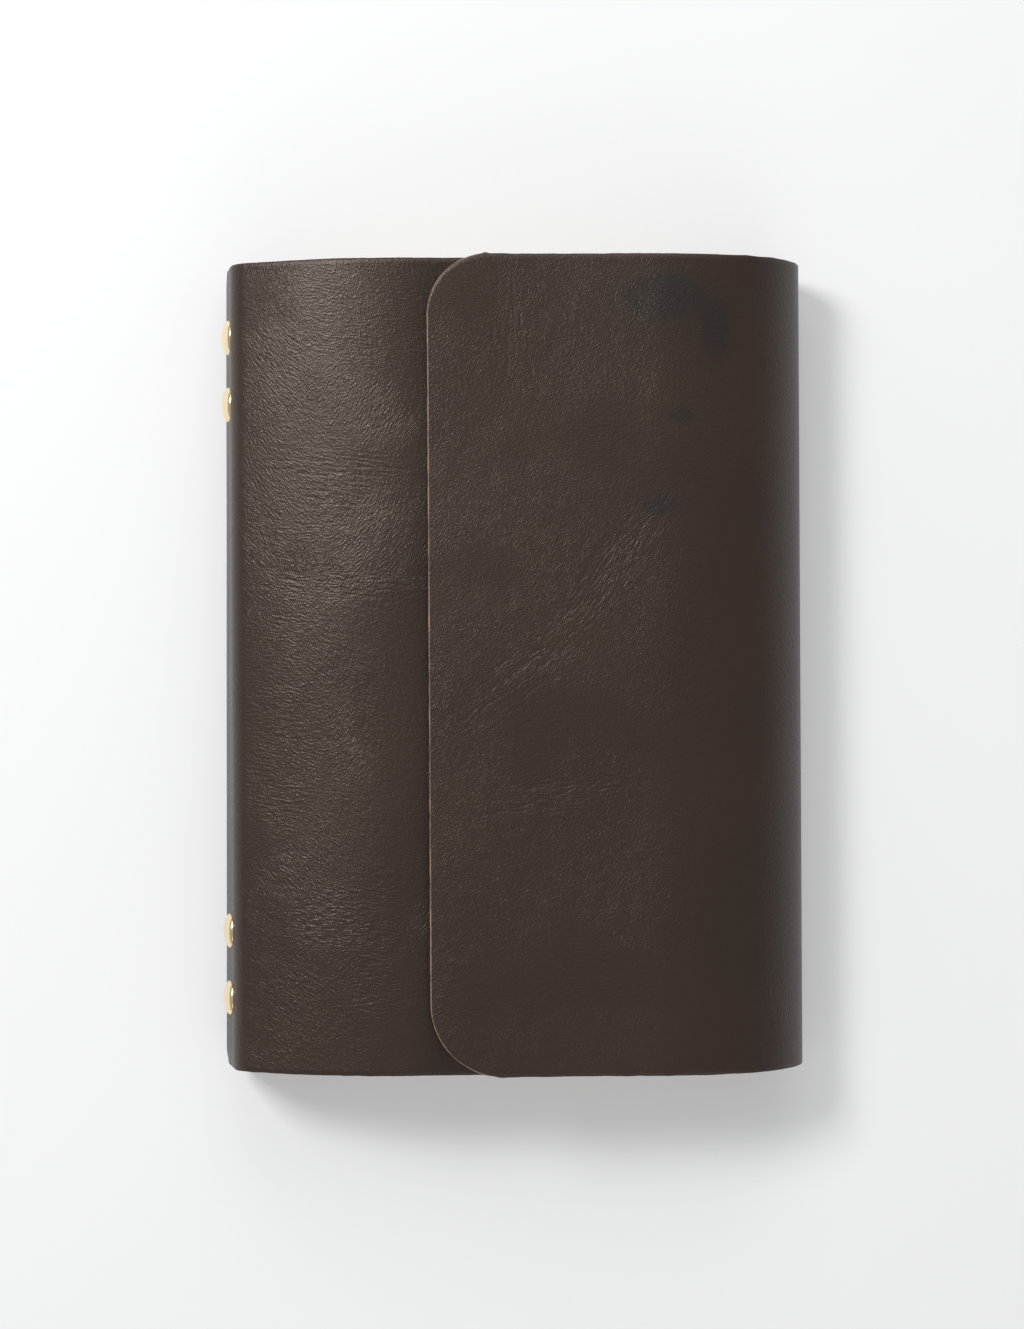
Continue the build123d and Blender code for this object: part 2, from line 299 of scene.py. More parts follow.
# %% [markdown]
# ### Building the skins
# The sheet is a grid of about one millimetre, laid on the outer face and on the inner face, and joined round
# the rim by a few narrow rings that round the cut edge. It has five fold lines, and each piece holds one of
# them, so the finished grid is parted at four lines between the folds.

# %% Grid of the whole sheet
GRID = 1.0
FLAP_CORNER_TOP, FLAP_CORNER_BOTTOM, FRONT_CORNER = 14.0, 17.0, 8.0
FACE_INSET = 0.32  # the faces stop this far inside the outline, and the cut edge rounds the rest
SEAMS = [-(crown_at + 6.0), -(spine_flat_at + 0.6), 0.0, 76.0]
NIB, NIB_AFTER, NIB_WIDTH = 0.3, 0.6, 0.7  # a small step that the knife left where each corner starts
FLAP_TALLER = 0.4  # how much the flap's top edge stands above the back's


def reach_up(distance, top):
    """How far the sheet reaches from the middle, up or down, at a distance along it."""
    start = FLAP_END - (FLAP_CORNER_TOP if top else FLAP_CORNER_BOTTOM)
    radius = FLAP_END - FACE_INSET - start
    past = np.clip(distance - start, 0, radius)
    flap = radius - np.sqrt(np.maximum(radius**2 - past**2, 0))
    small = FRONT_CORNER - FACE_INSET
    past = np.clip((FRONT_END + FRONT_CORNER) - distance, 0, small)
    front = small - np.sqrt(np.maximum(small**2 - past**2, 0))
    nib = NIB * np.exp(-(((distance - start - NIB_AFTER) / NIB_WIDTH) ** 2))
    taller = (FLAP_TALLER if top else 0.0) * smooth(distance, 60, 90)
    return HALF_HEIGHT - FACE_INSET - flap - front + nib + taller


def stations():
    """Distances of the grid's columns, closer together round the corners."""
    marks = [FRONT_END + FRONT_CORNER, *SEAMS, FLAP_END - FLAP_CORNER_BOTTOM]
    small, large = FRONT_CORNER - FACE_INSET, FLAP_CORNER_BOTTOM - FACE_INSET
    out = [FRONT_END + FRONT_CORNER - small * sin(a) for a in np.linspace(pi / 2, 0, 12)[:-1]]
    for first, last in zip(marks[:-1], marks[1:]):
        out += list(np.linspace(first, last, int((last - first) / GRID) + 1)[:-1])
    out += [FLAP_END - FLAP_CORNER_BOTTOM + large * sin(a) for a in np.linspace(0, pi / 2, 24)]
    return np.array(out)


columns = stations()
rows = int(2 * HALF_HEIGHT / GRID) + 1
share = np.linspace(0, 1, rows)
low, high = -reach_up(columns, False), reach_up(columns, True)
grid_s = np.repeat(columns[:, None], rows, axis=1)
grid_y = low[:, None] + (high - low)[:, None] * share[None, :]
print("grid", grid_s.shape)

# %% Rim rings of the cut edge
index = np.arange(grid_s.size).reshape(grid_s.shape)
rim = np.concatenate([index[:, 0], index[-1, 1:], index[-2::-1, -1], index[0, -2:0:-1]])
rim_s, rim_y = grid_s.ravel()[rim], grid_y.ravel()[rim]
step_s = np.roll(rim_s, -1) - np.roll(rim_s, 1)
step_y = np.roll(rim_y, -1) - np.roll(rim_y, 1)
size = np.hypot(step_s, step_y)
rim_out_s, rim_out_y = step_y / size, -step_s / size
edge_draw = np.random.default_rng(11)
three_rounds = np.tile(edge_draw.normal(0, 1, len(rim)), 3)
ragged = np.convolve(three_rounds, np.ones(3) / 3, "same")[len(rim):2 * len(rim)]
RAGGEDNESS = 0.05
# (how far in from the cut, offset from the middle of the thickness), from the outer face to the inner face
RIM_PROFILE = [(0.14, 0.86), (0.02, 0.62), (0.0, 0.0), (0.03, -0.66), (0.16, -0.88)]

face_s, face_y = grid_s.ravel(), grid_y.ravel()
layers = [on_sheet(face_s, face_y, np.full(face_s.shape, side * HALF)) for side in (1, -1)]
flat_s, flat_y = [face_s, face_s], [face_y, face_y]
for inset, offset in RIM_PROFILE:
    inward = inset - FACE_INSET + RAGGEDNESS * ragged * (1.0 if abs(offset) < 0.8 else 0.5)
    ring_s, ring_y = rim_s - inward * rim_out_s, rim_y - inward * rim_out_y
    layers.append(on_sheet(ring_s, ring_y, np.full(ring_s.shape, offset * HALF)))
    flat_s.append(ring_s)
    flat_y.append(ring_y)
sheet_verts = np.concatenate(layers)
sheet_flat = np.stack([np.concatenate(flat_s), np.concatenate(flat_y)], axis=1)

count = grid_s.size
a, b = index[:-1, :-1].ravel(), index[1:, :-1].ravel()
c, d = index[1:, 1:].ravel(), index[:-1, 1:].ravel()
outer = np.stack([a, d, c, b], axis=1)
inner = np.stack([a, b, c, d], axis=1) + count
rings_between = [2 * count + k * len(rim) + np.arange(len(rim)) for k in range(len(RIM_PROFILE))]
ring_at = [rim, *rings_between, rim + count]
strips = []
for first, second in zip(ring_at[:-1], ring_at[1:]):
    strips.append(np.stack([first, np.roll(first, -1), np.roll(second, -1), second], axis=1))
sheet_faces = np.concatenate([outer, inner, *strips])
GRAIN, FLESH, CUT = 0, 1, 2
face_kind = np.concatenate([np.full(len(outer), GRAIN), np.full(len(inner), FLESH)]
                           + [np.full(len(rim), CUT)] * len(strips))
face_at = sheet_flat[sheet_faces, 0].mean(axis=1)
print("sheet:", len(sheet_verts), "points,", len(sheet_faces), "faces")


# %% Part the sheet between its folds
def skin(name, first, last):
    """The stretch of the sheet between two distances, closed where it is parted from its neighbours."""
    chosen = (face_at > first) & (face_at < last)
    faces, kinds = sheet_faces[chosen], face_kind[chosen]
    used, new = np.unique(faces, return_inverse=True)
    new = new.reshape(faces.shape)
    mesh = bpy.data.meshes.new(name)
    mesh.from_pydata(sheet_verts[used].tolist(), [], new.tolist())
    mesh.polygons.foreach_set("material_index", kinds.astype(np.int32))
    mesh.polygons.foreach_set("use_smooth", np.ones(len(kinds), bool))
    layer = mesh.uv_layers.new(name="cut sheet")
    corner = np.zeros(len(mesh.loops), np.int32)
    mesh.loops.foreach_get("vertex_index", corner)
    layer.data.foreach_set("uv", (sheet_flat[used][corner] * MM).ravel())
    item = bpy.data.objects.new(name, mesh)
    bpy.context.scene.collection.objects.link(item)
    return item


def close_ends(item):
    """Fill the open ends left by the parting, and keep their edges sharp."""
    work = bmesh.new()
    work.from_mesh(item.data)
    open_edges = [e for e in work.edges if e.is_boundary]
    filled = bmesh.ops.holes_fill(work, edges=open_edges, sides=0)["faces"]
    for face in filled:
        face.material_index = CUT
        face.smooth = False
    for edge in open_edges:
        edge.smooth = False
    bmesh.ops.recalc_face_normals(work, faces=work.faces)
    work.to_mesh(item.data)
    work.free()


bounds_s = [FRONT_END - 1, *SEAMS, FLAP_END + 1]
skin_names = ["leather_front", "leather_shoulder", "leather_spine", "leather_back", "leather_flap"]
skins = {}
for name, first, last in zip(skin_names, bounds_s[:-1], bounds_s[1:]):
    skins[name] = skin(name, first, last)
    close_ends(skins[name])
    print(name, len(skins[name].data.polygons), "faces")

# %% [markdown]
# ## The leather
# The sheet is oiled full-grain cowhide: the grain side has fine wrinkles that run in different directions over
# the hide, a few bands of deeper creases where it has been bent, slow changes of colour, and a soft waxy shine.
# The wrinkles could be painted as an image, but a procedural pattern has no edges and no fixed size. It is drawn
# on the flat cut sheet's own coordinates, so it follows the leather round every fold. Stretched noise gives
# wrinkles in one direction; four of them, each showing where a slow noise lets it, give the hide.

# %% Grain side
# Dark brown, broken into fine wrinkles that catch a broad light, a little shinier on the crests than between, with
# painted shade that darkens the hollows.
WRINKLE_ACROSS = 0.48 * MM  # pitch of the wrinkles
WRINKLE_ALONG = 1.5 * MM
leather, tree, shader = new_material("oiled full-grain cowhide, grain side")
sheet_at = add(tree, "ShaderNodeUVMap", {"uv_map": "cut sheet"}).outputs["UV"]
drift = add(tree, "ShaderNodeTexNoise", FLAT_NOISE, Vector=sheet_at, Scale=1 / (6 * MM), Detail=2.0)
centred = add(tree, "ShaderNodeVectorMath", MINUS, i0=drift.outputs["Color"], i1=(0.5, 0.5, 0.5))
warp = add(tree, "ShaderNodeVectorMath", {"operation": "MULTIPLY_ADD"}, i0=centred.outputs[0],
           i1=(1.5 * MM, 1.5 * MM, 0), i2=sheet_at).outputs[0]


def wrinkles(angle, across, along, detail=1.5, source=None):
    """Stretched noise with its long direction at an angle from the sheet's length."""
    turned = add(tree, "ShaderNodeMapping", TEXTURE_SPACE, Vector=source or warp,
                 Rotation=(0, 0, radians(angle)), Scale=(along, across, 1))
    noise = add(tree, "ShaderNodeTexNoise", FLAT_NOISE, Vector=turned.outputs[0], Scale=1.0,
                Detail=detail, Roughness=0.55)
    return noise.outputs["Fac"]


def patch(pitch, low, high, shift):
    """A slow mask from 0 to 1, in patches of about the given pitch."""
    moved = add(tree, "ShaderNodeMapping", Vector=sheet_at, Location=(shift, shift * 0.7, 0))
    noise = add(tree, "ShaderNodeTexNoise", FLAT_NOISE, Vector=moved.outputs[0], Scale=1 / pitch,
                Detail=1.0)
    return add(tree, "ShaderNodeMapRange", SMOOTH_STEP, Value=noise.outputs["Fac"],
               From_Min=low, From_Max=high).outputs["Result"]


falling = wrinkles(48, WRINKLE_ACROSS, WRINKLE_ALONG)
rising = wrinkles(-52, WRINKLE_ACROSS * 0.85, WRINKLE_ALONG)
fine_rising = wrinkles(-48, WRINKLE_ACROSS * 0.7, WRINKLE_ALONG * 0.7)
level = wrinkles(8, WRINKLE_ACROSS * 1.15, WRINKLE_ALONG * 1.2)
along_sheet = add(tree, "ShaderNodeSeparateXYZ", Vector=sheet_at).outputs["X"]
on_flap = add(tree, "ShaderNodeMapRange", Value=along_sheet, From_Min=30 * MM, From_Max=60 * MM).outputs["Result"]
level_or_rising = add(tree, "ShaderNodeMix", NUMBERS, Factor=patch(27 * MM, 0.4, 0.6, 3.1),
                      i2=level, i3=rising).outputs[0]
front_hide = add(tree, "ShaderNodeMix", NUMBERS, Factor=patch(34 * MM, 0.44, 0.56, 0.0),
                 i2=falling, i3=level_or_rising).outputs[0]
flap_hide = add(tree, "ShaderNodeMix", NUMBERS, Factor=patch(30 * MM, 0.5, 0.8, 4.2),
                i2=fine_rising, i3=level).outputs[0]
hide = add(tree, "ShaderNodeMix", NUMBERS, Factor=on_flap, i2=front_hide, i3=flap_hide).outputs[0]
pores = add(tree, "ShaderNodeTexVoronoi", {"feature": "SMOOTH_F1", "voronoi_dimensions": "2D"}, Vector=warp,
            Scale=1 / (0.42 * MM), Smoothness=0.4).outputs["Distance"]
front_strength = add(tree, "ShaderNodeMix", NUMBERS, Factor=patch(30 * MM, 0.35, 0.65, 7.7),
                     i2=0.6, i3=1.0).outputs[0]
flap_strength = add(tree, "ShaderNodeMix", NUMBERS, Factor=patch(24 * MM, 0.3, 0.7, 2.9),
                    i2=0.45, i3=0.55).outputs[0]
strength = add(tree, "ShaderNodeMix", NUMBERS, Factor=on_flap, i2=front_strength, i3=flap_strength).outputs[0]
pore_strength = add(tree, "ShaderNodeMix", NUMBERS, Factor=on_flap, i2=0.3, i3=0.2).outputs[0]
wrinkle_height = add(tree, "ShaderNodeMath", TIMES, i0=hide, i1=strength).outputs[0]
pore_height = add(tree, "ShaderNodeMath", TIMES, i0=pores, i1=pore_strength).outputs[0]
height = add(tree, "ShaderNodeMath", PLUS, i0=wrinkle_height, i1=pore_height).outputs[0]

# %% [markdown]
# ### Crease bands
# Where hide has been bent or was loose on the animal, wrinkles gather in bands. Each band is the same stretched
# noise, turned along the band's own line and fading away from it.


# %% Crease bands across the front and the flap
def crease_band(place, angle, length, width, depth):
    """Deeper wrinkles round a line through a place on the cut sheet, in millimetres."""
    local = add(tree, "ShaderNodeMapping", TEXTURE_SPACE, Vector=warp,
                Location=(place[0] * MM, place[1] * MM, 0), Rotation=(0, 0, radians(angle)),
                Scale=(length * MM, width * MM, 1)).outputs[0]
    reach = add(tree, "ShaderNodeVectorMath", {"operation": "LENGTH"}, i0=local).outputs["Value"]
    fade = add(tree, "ShaderNodeMapRange", SMOOTH_STEP, Value=reach,
               From_Min=1.0, From_Max=0.1).outputs["Result"]
    folds = wrinkles(angle, 1.3 * MM, 8.0 * MM, 2.0)
    centred = add(tree, "ShaderNodeMath", MINUS, i0=folds, i1=0.5).outputs[0]
    sharp = add(tree, "ShaderNodeMath", SIZE, i0=centred).outputs[0]
    faded = add(tree, "ShaderNodeMath", TIMES, i0=sharp, i1=fade).outputs[0]
    return add(tree, "ShaderNodeMath", TIMES, i0=faded, i1=-depth).outputs[0]


CREASES = [  # place on the cut sheet, angle, length, width, depth
    ((-112, 19), 3, 34, 7, 2.4),
    ((-114, 44), 8, 30, 14, 1.6),
    ((-100, 74), 38, 18, 14, 1.2),
    ((-112, -62), 5, 30, 9, 0.7),
    ((128, 22), -52, 42, 9, 1.7),
    ((150, -2), -40, 26, 9, 1.7),
    ((140, -30), -6, 28, 7, 2.2),
    ((150, 76), 84, 20, 8, 1.4),
]
for crease in CREASES:
    height = add(tree, "ShaderNodeMath", PLUS, i0=height, i1=crease_band(*crease)).outputs[0]

# %% Colour, shine and bump of the grain side
clouds = patch(38 * MM, 0.3, 0.75, 1.3)
fine = add(tree, "ShaderNodeMapRange", Value=hide, From_Min=0.3, From_Max=0.7).outputs["Result"]
base = add(tree, "ShaderNodeMix", COLOURS, Factor=clouds, A=colour("291d17"), B=colour("2d2019"))
# Painted shade: the colour is darker in the hollows between the wrinkles' crests.
between = add(tree, "ShaderNodeMix", COLOURS, Factor=fine, A=colour("b8b0a8"), B=colour("ffffff"))
grain_with_painted_shade = add(tree, "ShaderNodeMix", {"data_type": "RGBA", "blend_type": "MULTIPLY"}, Factor=0.35,
           A=base.outputs["Result"], B=between.outputs["Result"])
STAINS = [  # place on the cut sheet, half sizes
    ((116, 85), (15, 9)),
    ((104, 78), (6, 12)),
    ((117, 37), (6, 4)),
    ((112, 58), (5, 3)),
]
BAND_AT, BAND_OUT_AT, BAND_IN_AT, BAND_DEPTH = -134, 9, 1, 0.45  # painted shadow: a dark band on the front where the flap's edge lies
cool = 0.0
for place, reach in STAINS:
    local = add(tree, "ShaderNodeMapping", TEXTURE_SPACE, Vector=warp,
                Location=(place[0] * MM, place[1] * MM, 0), Scale=(reach[0] * MM, reach[1] * MM, 1)).outputs[0]
    away = add(tree, "ShaderNodeVectorMath", {"operation": "LENGTH"}, i0=local).outputs["Value"]
    stain = add(tree, "ShaderNodeMapRange", SMOOTH_STEP, Value=away, From_Min=1.0,
                From_Max=0.3, To_Max=0.7).outputs["Result"]
    cool = add(tree, "ShaderNodeMath", LARGER, i0=cool, i1=stain).outputs[0]
tinted = add(tree, "ShaderNodeMix", COLOURS, Factor=cool, A=grain_with_painted_shade.outputs["Result"], B=colour("151615"))
# Painted shadow of the flap's edge: the front is coloured darker in a band beside it.
sheet_s = add(tree, "ShaderNodeSeparateXYZ", Vector=sheet_at).outputs["X"]
past_band = add(tree, "ShaderNodeMath", MINUS, i0=sheet_s, i1=BAND_AT * MM).outputs[0]
from_band = add(tree, "ShaderNodeMath", SIZE, i0=past_band).outputs[0]
flap_edge_painted_shadow = add(tree, "ShaderNodeMapRange", SMOOTH_STEP, Value=from_band,
          From_Min=BAND_OUT_AT * MM, From_Max=BAND_IN_AT * MM, To_Max=BAND_DEPTH).outputs["Result"]
leather_with_painted_shadow = add(tree, "ShaderNodeMix", COLOURS, Factor=flap_edge_painted_shadow, A=tinted.outputs["Result"], B=colour("120d0a"))
tree.links.new(leather_with_painted_shadow.outputs["Result"], shader.inputs["Base Color"])
shader.inputs["Specular Tint"].default_value = colour("fff0e2")
shine = add(tree, "ShaderNodeMapRange", Value=hide, From_Min=0.3, From_Max=0.7, To_Min=0.44, To_Max=0.35)
tree.links.new(shine.outputs["Result"], shader.inputs["Roughness"])
shader.inputs["IOR"].default_value = 1.52
bump = add(tree, "ShaderNodeBump", Strength=0.48, Distance=0.35 * MM, Height=height)
tree.links.new(bump.outputs["Normal"], shader.inputs["Normal"])

# %% [markdown]
# ### Flesh side and cut edges
# The inside of the sheet is the flesh side: matte, fibrous and a little lighter. The raw cut edge shows the
# hide's own pinkish-brown fibres, brighter in some places than in others, because nothing was painted on it.

# %% Flesh side
# Lighter than the grain side, matte and fibrous, so it takes no highlight.
flesh, tree, shader = new_material("waxed suede, flesh side")
sheet_at = add(tree, "ShaderNodeUVMap", {"uv_map": "cut sheet"}).outputs["UV"]
nap = add(tree, "ShaderNodeTexNoise", FLAT_NOISE, Vector=sheet_at, Scale=1 / (0.5 * MM), Detail=4.0,
          Roughness=0.7)
blotch = add(tree, "ShaderNodeTexNoise", FLAT_NOISE, Vector=sheet_at, Scale=1 / (16 * MM), Detail=3.0)
nap_share = add(tree, "ShaderNodeMath", TIMES, i0=nap.outputs["Fac"], i1=0.6).outputs[0]
blotch_share = add(tree, "ShaderNodeMath", TIMES, i0=blotch.outputs["Fac"], i1=0.4).outputs[0]
level = add(tree, "ShaderNodeMath", PLUS, i0=nap_share, i1=blotch_share).outputs[0]
tone = add(tree, "ShaderNodeMapRange", Value=level, From_Min=0.35, From_Max=0.65)
suede = add(tree, "ShaderNodeMix", COLOURS, Factor=tone.outputs["Result"],
            A=colour("54443a"), B=colour("7a6353"))
tree.links.new(suede.outputs["Result"], shader.inputs["Base Color"])
shader.inputs["Roughness"].default_value = 0.88
shader.inputs["Sheen Weight"].default_value = 0.25
bump = add(tree, "ShaderNodeBump", Strength=0.5, Distance=0.25 * MM, Height=nap.outputs["Fac"])
tree.links.new(bump.outputs["Normal"], shader.inputs["Normal"])

# %% Cut edge
# A thin pinkish-brown line, paler than the faces along the flap's free edge and stained dark elsewhere.
FRESH_FROM, FRESH_TO = 16, 9  # millimetres from the flap's edge over which the edge turns fresh
cut_edge, tree, shader = new_material("raw cut edge of hide")
sheet_at = add(tree, "ShaderNodeUVMap", {"uv_map": "cut sheet"}).outputs["UV"]
object_at = add(tree, "ShaderNodeTexCoord").outputs["Object"]
fibre = add(tree, "ShaderNodeTexNoise", Vector=object_at, Scale=1 / (0.45 * MM), Detail=3.0)
worn = add(tree, "ShaderNodeTexNoise", FLAT_NOISE, Vector=sheet_at, Scale=1 / (7 * MM), Detail=2.0)
fibre_share = add(tree, "ShaderNodeMath", TIMES, i0=fibre.outputs["Fac"], i1=0.5).outputs[0]
worn_share = add(tree, "ShaderNodeMath", TIMES, i0=worn.outputs["Fac"], i1=0.5).outputs[0]
level = add(tree, "ShaderNodeMath", PLUS, i0=fibre_share, i1=worn_share).outputs[0]
tone = add(tree, "ShaderNodeMapRange", Value=level, From_Min=0.4, From_Max=0.62)
raw = add(tree, "ShaderNodeMix", COLOURS, Factor=tone.outputs["Result"],
          A=colour("5c493d"), B=colour("957b6b"))
edge_s = add(tree, "ShaderNodeSeparateXYZ", Vector=sheet_at).outputs["X"]
fresh = add(tree, "ShaderNodeMapRange", Value=edge_s,
            From_Min=(FLAP_END - FRESH_FROM) * MM, From_Max=(FLAP_END - FRESH_TO) * MM)
stained = add(tree, "ShaderNodeMix", COLOURS, Factor=fresh.outputs["Result"], A=colour("35291f"),
              B=raw.outputs["Result"])
tree.links.new(stained.outputs["Result"], shader.inputs["Base Color"])
shader.inputs["Roughness"].default_value = 0.8
bump = add(tree, "ShaderNodeBump", Strength=0.6, Distance=0.2 * MM, Height=fibre.outputs["Fac"])
tree.links.new(bump.outputs["Normal"], shader.inputs["Normal"])

for item in skins.values():
    for material in (leather, flesh, cut_edge):
        item.data.materials.append(material)

# %% [markdown]
# ### The skins and their folds
# Each skin is listed with the body before its fold, the body after it and where the fold starts and ends. Start
# and end are found on the outer face, at the two ends of the bend that the joint stands in the middle of; then
# each skin's place is baked into its points and the CAD nodes that it stands for are hidden.

# %% Each fold's bodies and ends, and the CAD nodes that the skins replace
folds = {  # skin: first body, second body, where the fold starts and ends along the sheet, nodes it stands for
    "leather_front": ("shoulder", "front", -(crown_at + 6.5), -(crown_at + 35.5), ["cover_front"]),
    "leather_shoulder": ("spine", "shoulder", -(spine_flat_at + 7.8), -(crown_at + 1.0), ["cover_shoulder"]),
    "leather_spine": ("back", "spine", -TO_SPINE, -spine_flat_at, ["cover_spine"]),
    "leather_back": (
        "back", "fore_edge", TO_FORE_EDGE, TO_FORE_EDGE + FORE_EDGE_BEND, ["cover_back", "cover_fore_edge"]
    ),
    "leather_flap": ("fore_edge", "flap", 78.0, 101.2, ["cover_flap"]),
}
for name, (first_body, second_body, first_at, last_at, nodes) in folds.items():
    ends = on_sheet(np.array([first_at, last_at]), np.zeros(2), np.full(2, HALF))
    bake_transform(skins[name])
    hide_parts(*nodes)

# %% [markdown]
# ## Metal and paper
# The rivets are pale polished brass. The ring mechanism is bright nickel plate over steel, and its blades are
# plain zinc-plated spring steel, which is duller.

# %% Metals
# Small sharp highlights in a warm pale yellow, softened by the haze that handling leaves.
brass, tree, shader = new_material("polished pale brass")
object_at = add(tree, "ShaderNodeTexCoord").outputs["Object"]
haze = add(tree, "ShaderNodeTexNoise", Vector=object_at, Scale=1 / (2.5 * MM), Detail=3.0)
polish = add(tree, "ShaderNodeMapRange", Value=haze.outputs["Fac"], To_Min=0.10, To_Max=0.22)
tree.links.new(polish.outputs["Result"], shader.inputs["Roughness"])
shader.inputs["Base Color"].default_value = colour("f6dfb4")
shader.inputs["Metallic"].default_value = 1.0

# Greyer and cooler than the brass, with slightly softer reflections.
nickel, tree, shader = new_material("bright nickel plate")
object_at = add(tree, "ShaderNodeTexCoord").outputs["Object"]
haze = add(tree, "ShaderNodeTexNoise", Vector=object_at, Scale=1 / (3 * MM), Detail=3.0)
polish = add(tree, "ShaderNodeMapRange", Value=haze.outputs["Fac"], To_Min=0.12, To_Max=0.26)
tree.links.new(polish.outputs["Result"], shader.inputs["Roughness"])
shader.inputs["Base Color"].default_value = colour("d9d6cf")
shader.inputs["Metallic"].default_value = 1.0

# Duller than the nickel, with fine marks along its length.
zinc, tree, shader = new_material("zinc-plated spring steel")
object_at = add(tree, "ShaderNodeTexCoord").outputs["Object"]
long_marks = add(tree, "ShaderNodeMapping", TEXTURE_SPACE, Vector=object_at,
                 Scale=(0.2 * MM, 8 * MM, 0.2 * MM))
marks = add(tree, "ShaderNodeTexNoise", Vector=long_marks.outputs[0], Scale=1.0, Detail=2.0)
dull = add(tree, "ShaderNodeMapRange", Value=marks.outputs["Fac"], To_Min=0.3, To_Max=0.5)
tree.links.new(dull.outputs["Result"], shader.inputs["Roughness"])
shader.inputs["Base Color"].default_value = colour("b9babb")
shader.inputs["Metallic"].default_value = 1.0

# %% Paper
# Warm off-white and matte, with faint grey rules.
RULE_PITCH = 6.0 * MM
paper, tree, shader = new_material("cream writing paper")
object_at = add(tree, "ShaderNodeTexCoord").outputs["Object"]
along_page = add(tree, "ShaderNodeSeparateXYZ", Vector=object_at).outputs["Y"]
wrapped = add(tree, "ShaderNodeMath", PINGPONG, i0=along_page, i1=RULE_PITCH / 2).outputs[0]
line = add(tree, "ShaderNodeMapRange", Value=wrapped, From_Min=0.10 * MM, From_Max=0.18 * MM)
pulp = add(tree, "ShaderNodeTexNoise", Vector=object_at, Scale=1 / (0.8 * MM), Detail=4.0)
stock = add(tree, "ShaderNodeMix", COLOURS, Factor=pulp.outputs["Fac"],
            A=colour("ebe2cb"), B=colour("f4eddb"))
ruled = add(tree, "ShaderNodeMix", COLOURS, Factor=line.outputs["Result"], A=colour("c2c4c0"),
            B=stock.outputs["Result"])
tree.links.new(ruled.outputs["Result"], shader.inputs["Base Color"])
shader.inputs["Roughness"].default_value = 0.85
bump = add(tree, "ShaderNodeBump", Strength=0.15, Distance=0.05 * MM, Height=pulp.outputs["Fac"])
tree.links.new(bump.outputs["Normal"], shader.inputs["Normal"])

# %% [markdown]
# ## Rivet caps
# Each rivet is a dome-headed post pressed into a back cap through a hole in the leather. Four equal domes set at
# four places are a pattern, so one dome is made in a node tree and set on four points; the tree's inputs hold
# the dome's size. The domes are turned to lie flush with the leather, which bulges a little under them.


# %% A node tree as a piece factory
def grow(name, base, build, values):
    """Run a node tree on a base object, with named inputs set to values, and return one plain mesh object."""
    group = bpy.data.node_groups.new(name, "GeometryNodeTree")
    group.interface.new_socket("Geometry", in_out="INPUT", socket_type="NodeSocketGeometry")
    for label, (kind, value) in values.items():
        group.interface.new_socket(label, in_out="INPUT", socket_type=kind)
    group.interface.new_socket("Geometry", in_out="OUTPUT", socket_type="NodeSocketGeometry")
    entry = group.nodes.new("NodeGroupInput")
    leave = group.nodes.new("NodeGroupOutput")
    group.links.new(build(group, entry.outputs), leave.inputs[0])
    modifier = base.modifiers.new(name, "NODES")
    modifier.node_group = group
    for item in group.interface.items_tree:
        if item.item_type == "SOCKET" and item.in_out == "INPUT" and item.name in values:
            modifier[item.identifier] = values[item.name][1]
    bpy.context.view_layer.update()
    mesh = bpy.data.meshes.new_from_object(base.evaluated_get(bpy.context.evaluated_depsgraph_get()))
    base.modifiers.remove(modifier)
    bpy.data.objects.remove(base)
    piece = bpy.data.objects.new(name, mesh)
    bpy.context.scene.collection.objects.link(piece)
    print(name, len(mesh.polygons), "faces")
    return piece


# %% Four domes
RIVETS = ["rivet_top_outer", "rivet_top_inner", "rivet_bottom_inner", "rivet_bottom_outer"]
rivet_y = np.array([sum(c.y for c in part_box(name)) / 2 for name in RIVETS]) / MM
RIVET_ALONG_FLAT, CAP_RADIUS, DOME_HEIGHT = 5.0, 4.1, 1.55
CAP_SEAT = 3.6  # the leather this far above and below a rivet gives the cap its slope
at_rivets = np.full(4, -(spine_flat_at + RIVET_ALONG_FLAT))
outside = np.full(4, HALF)
places = on_sheet(at_rivets, rivet_y, outside)
above = on_sheet(at_rivets - CAP_SEAT, rivet_y, outside) - on_sheet(at_rivets + CAP_SEAT, rivet_y, outside)
up_spine = Vector(above.mean(axis=0)).normalized()
cap_axis = Vector((0, 1, 0)).cross(up_spine).normalized()
if cap_axis.x > 0:
    cap_axis = -cap_axis
print("rivet caps face", tuple(round(c, 3) for c in cap_axis))


def domes(group, given):
    """A squashed sphere on every point of the base, half sunk, with its pole along the given axis."""
    ball = add(group, "GeometryNodeMeshUVSphere", Segments=40, Rings=24, Radius=given["Cap radius"])
    flat = add(group, "ShaderNodeMath", DIVIDED, i0=given["Dome height"], i1=given["Cap radius"]).outputs[0]
    squash = add(group, "ShaderNodeCombineXYZ", X=1.0, Y=1.0, Z=flat)
    low = add(group, "GeometryNodeTransform", Geometry=ball.outputs["Mesh"], Scale=squash.outputs[0])
    round_head = add(group, "GeometryNodeSetShadeSmooth", Geometry=low.outputs[0])
    turned = add(group, "FunctionNodeAlignRotationToVector", {"axis": "Z"}, Vector=given["Axis"])
    heads = add(group, "GeometryNodeInstanceOnPoints", Points=given["Geometry"], Instance=round_head.outputs[0],
                Rotation=turned.outputs[0])
    real = add(group, "GeometryNodeRealizeInstances", Geometry=heads.outputs[0])
    return add(group, "GeometryNodeSetMaterial", Geometry=real.outputs[0], Material=brass).outputs[0]


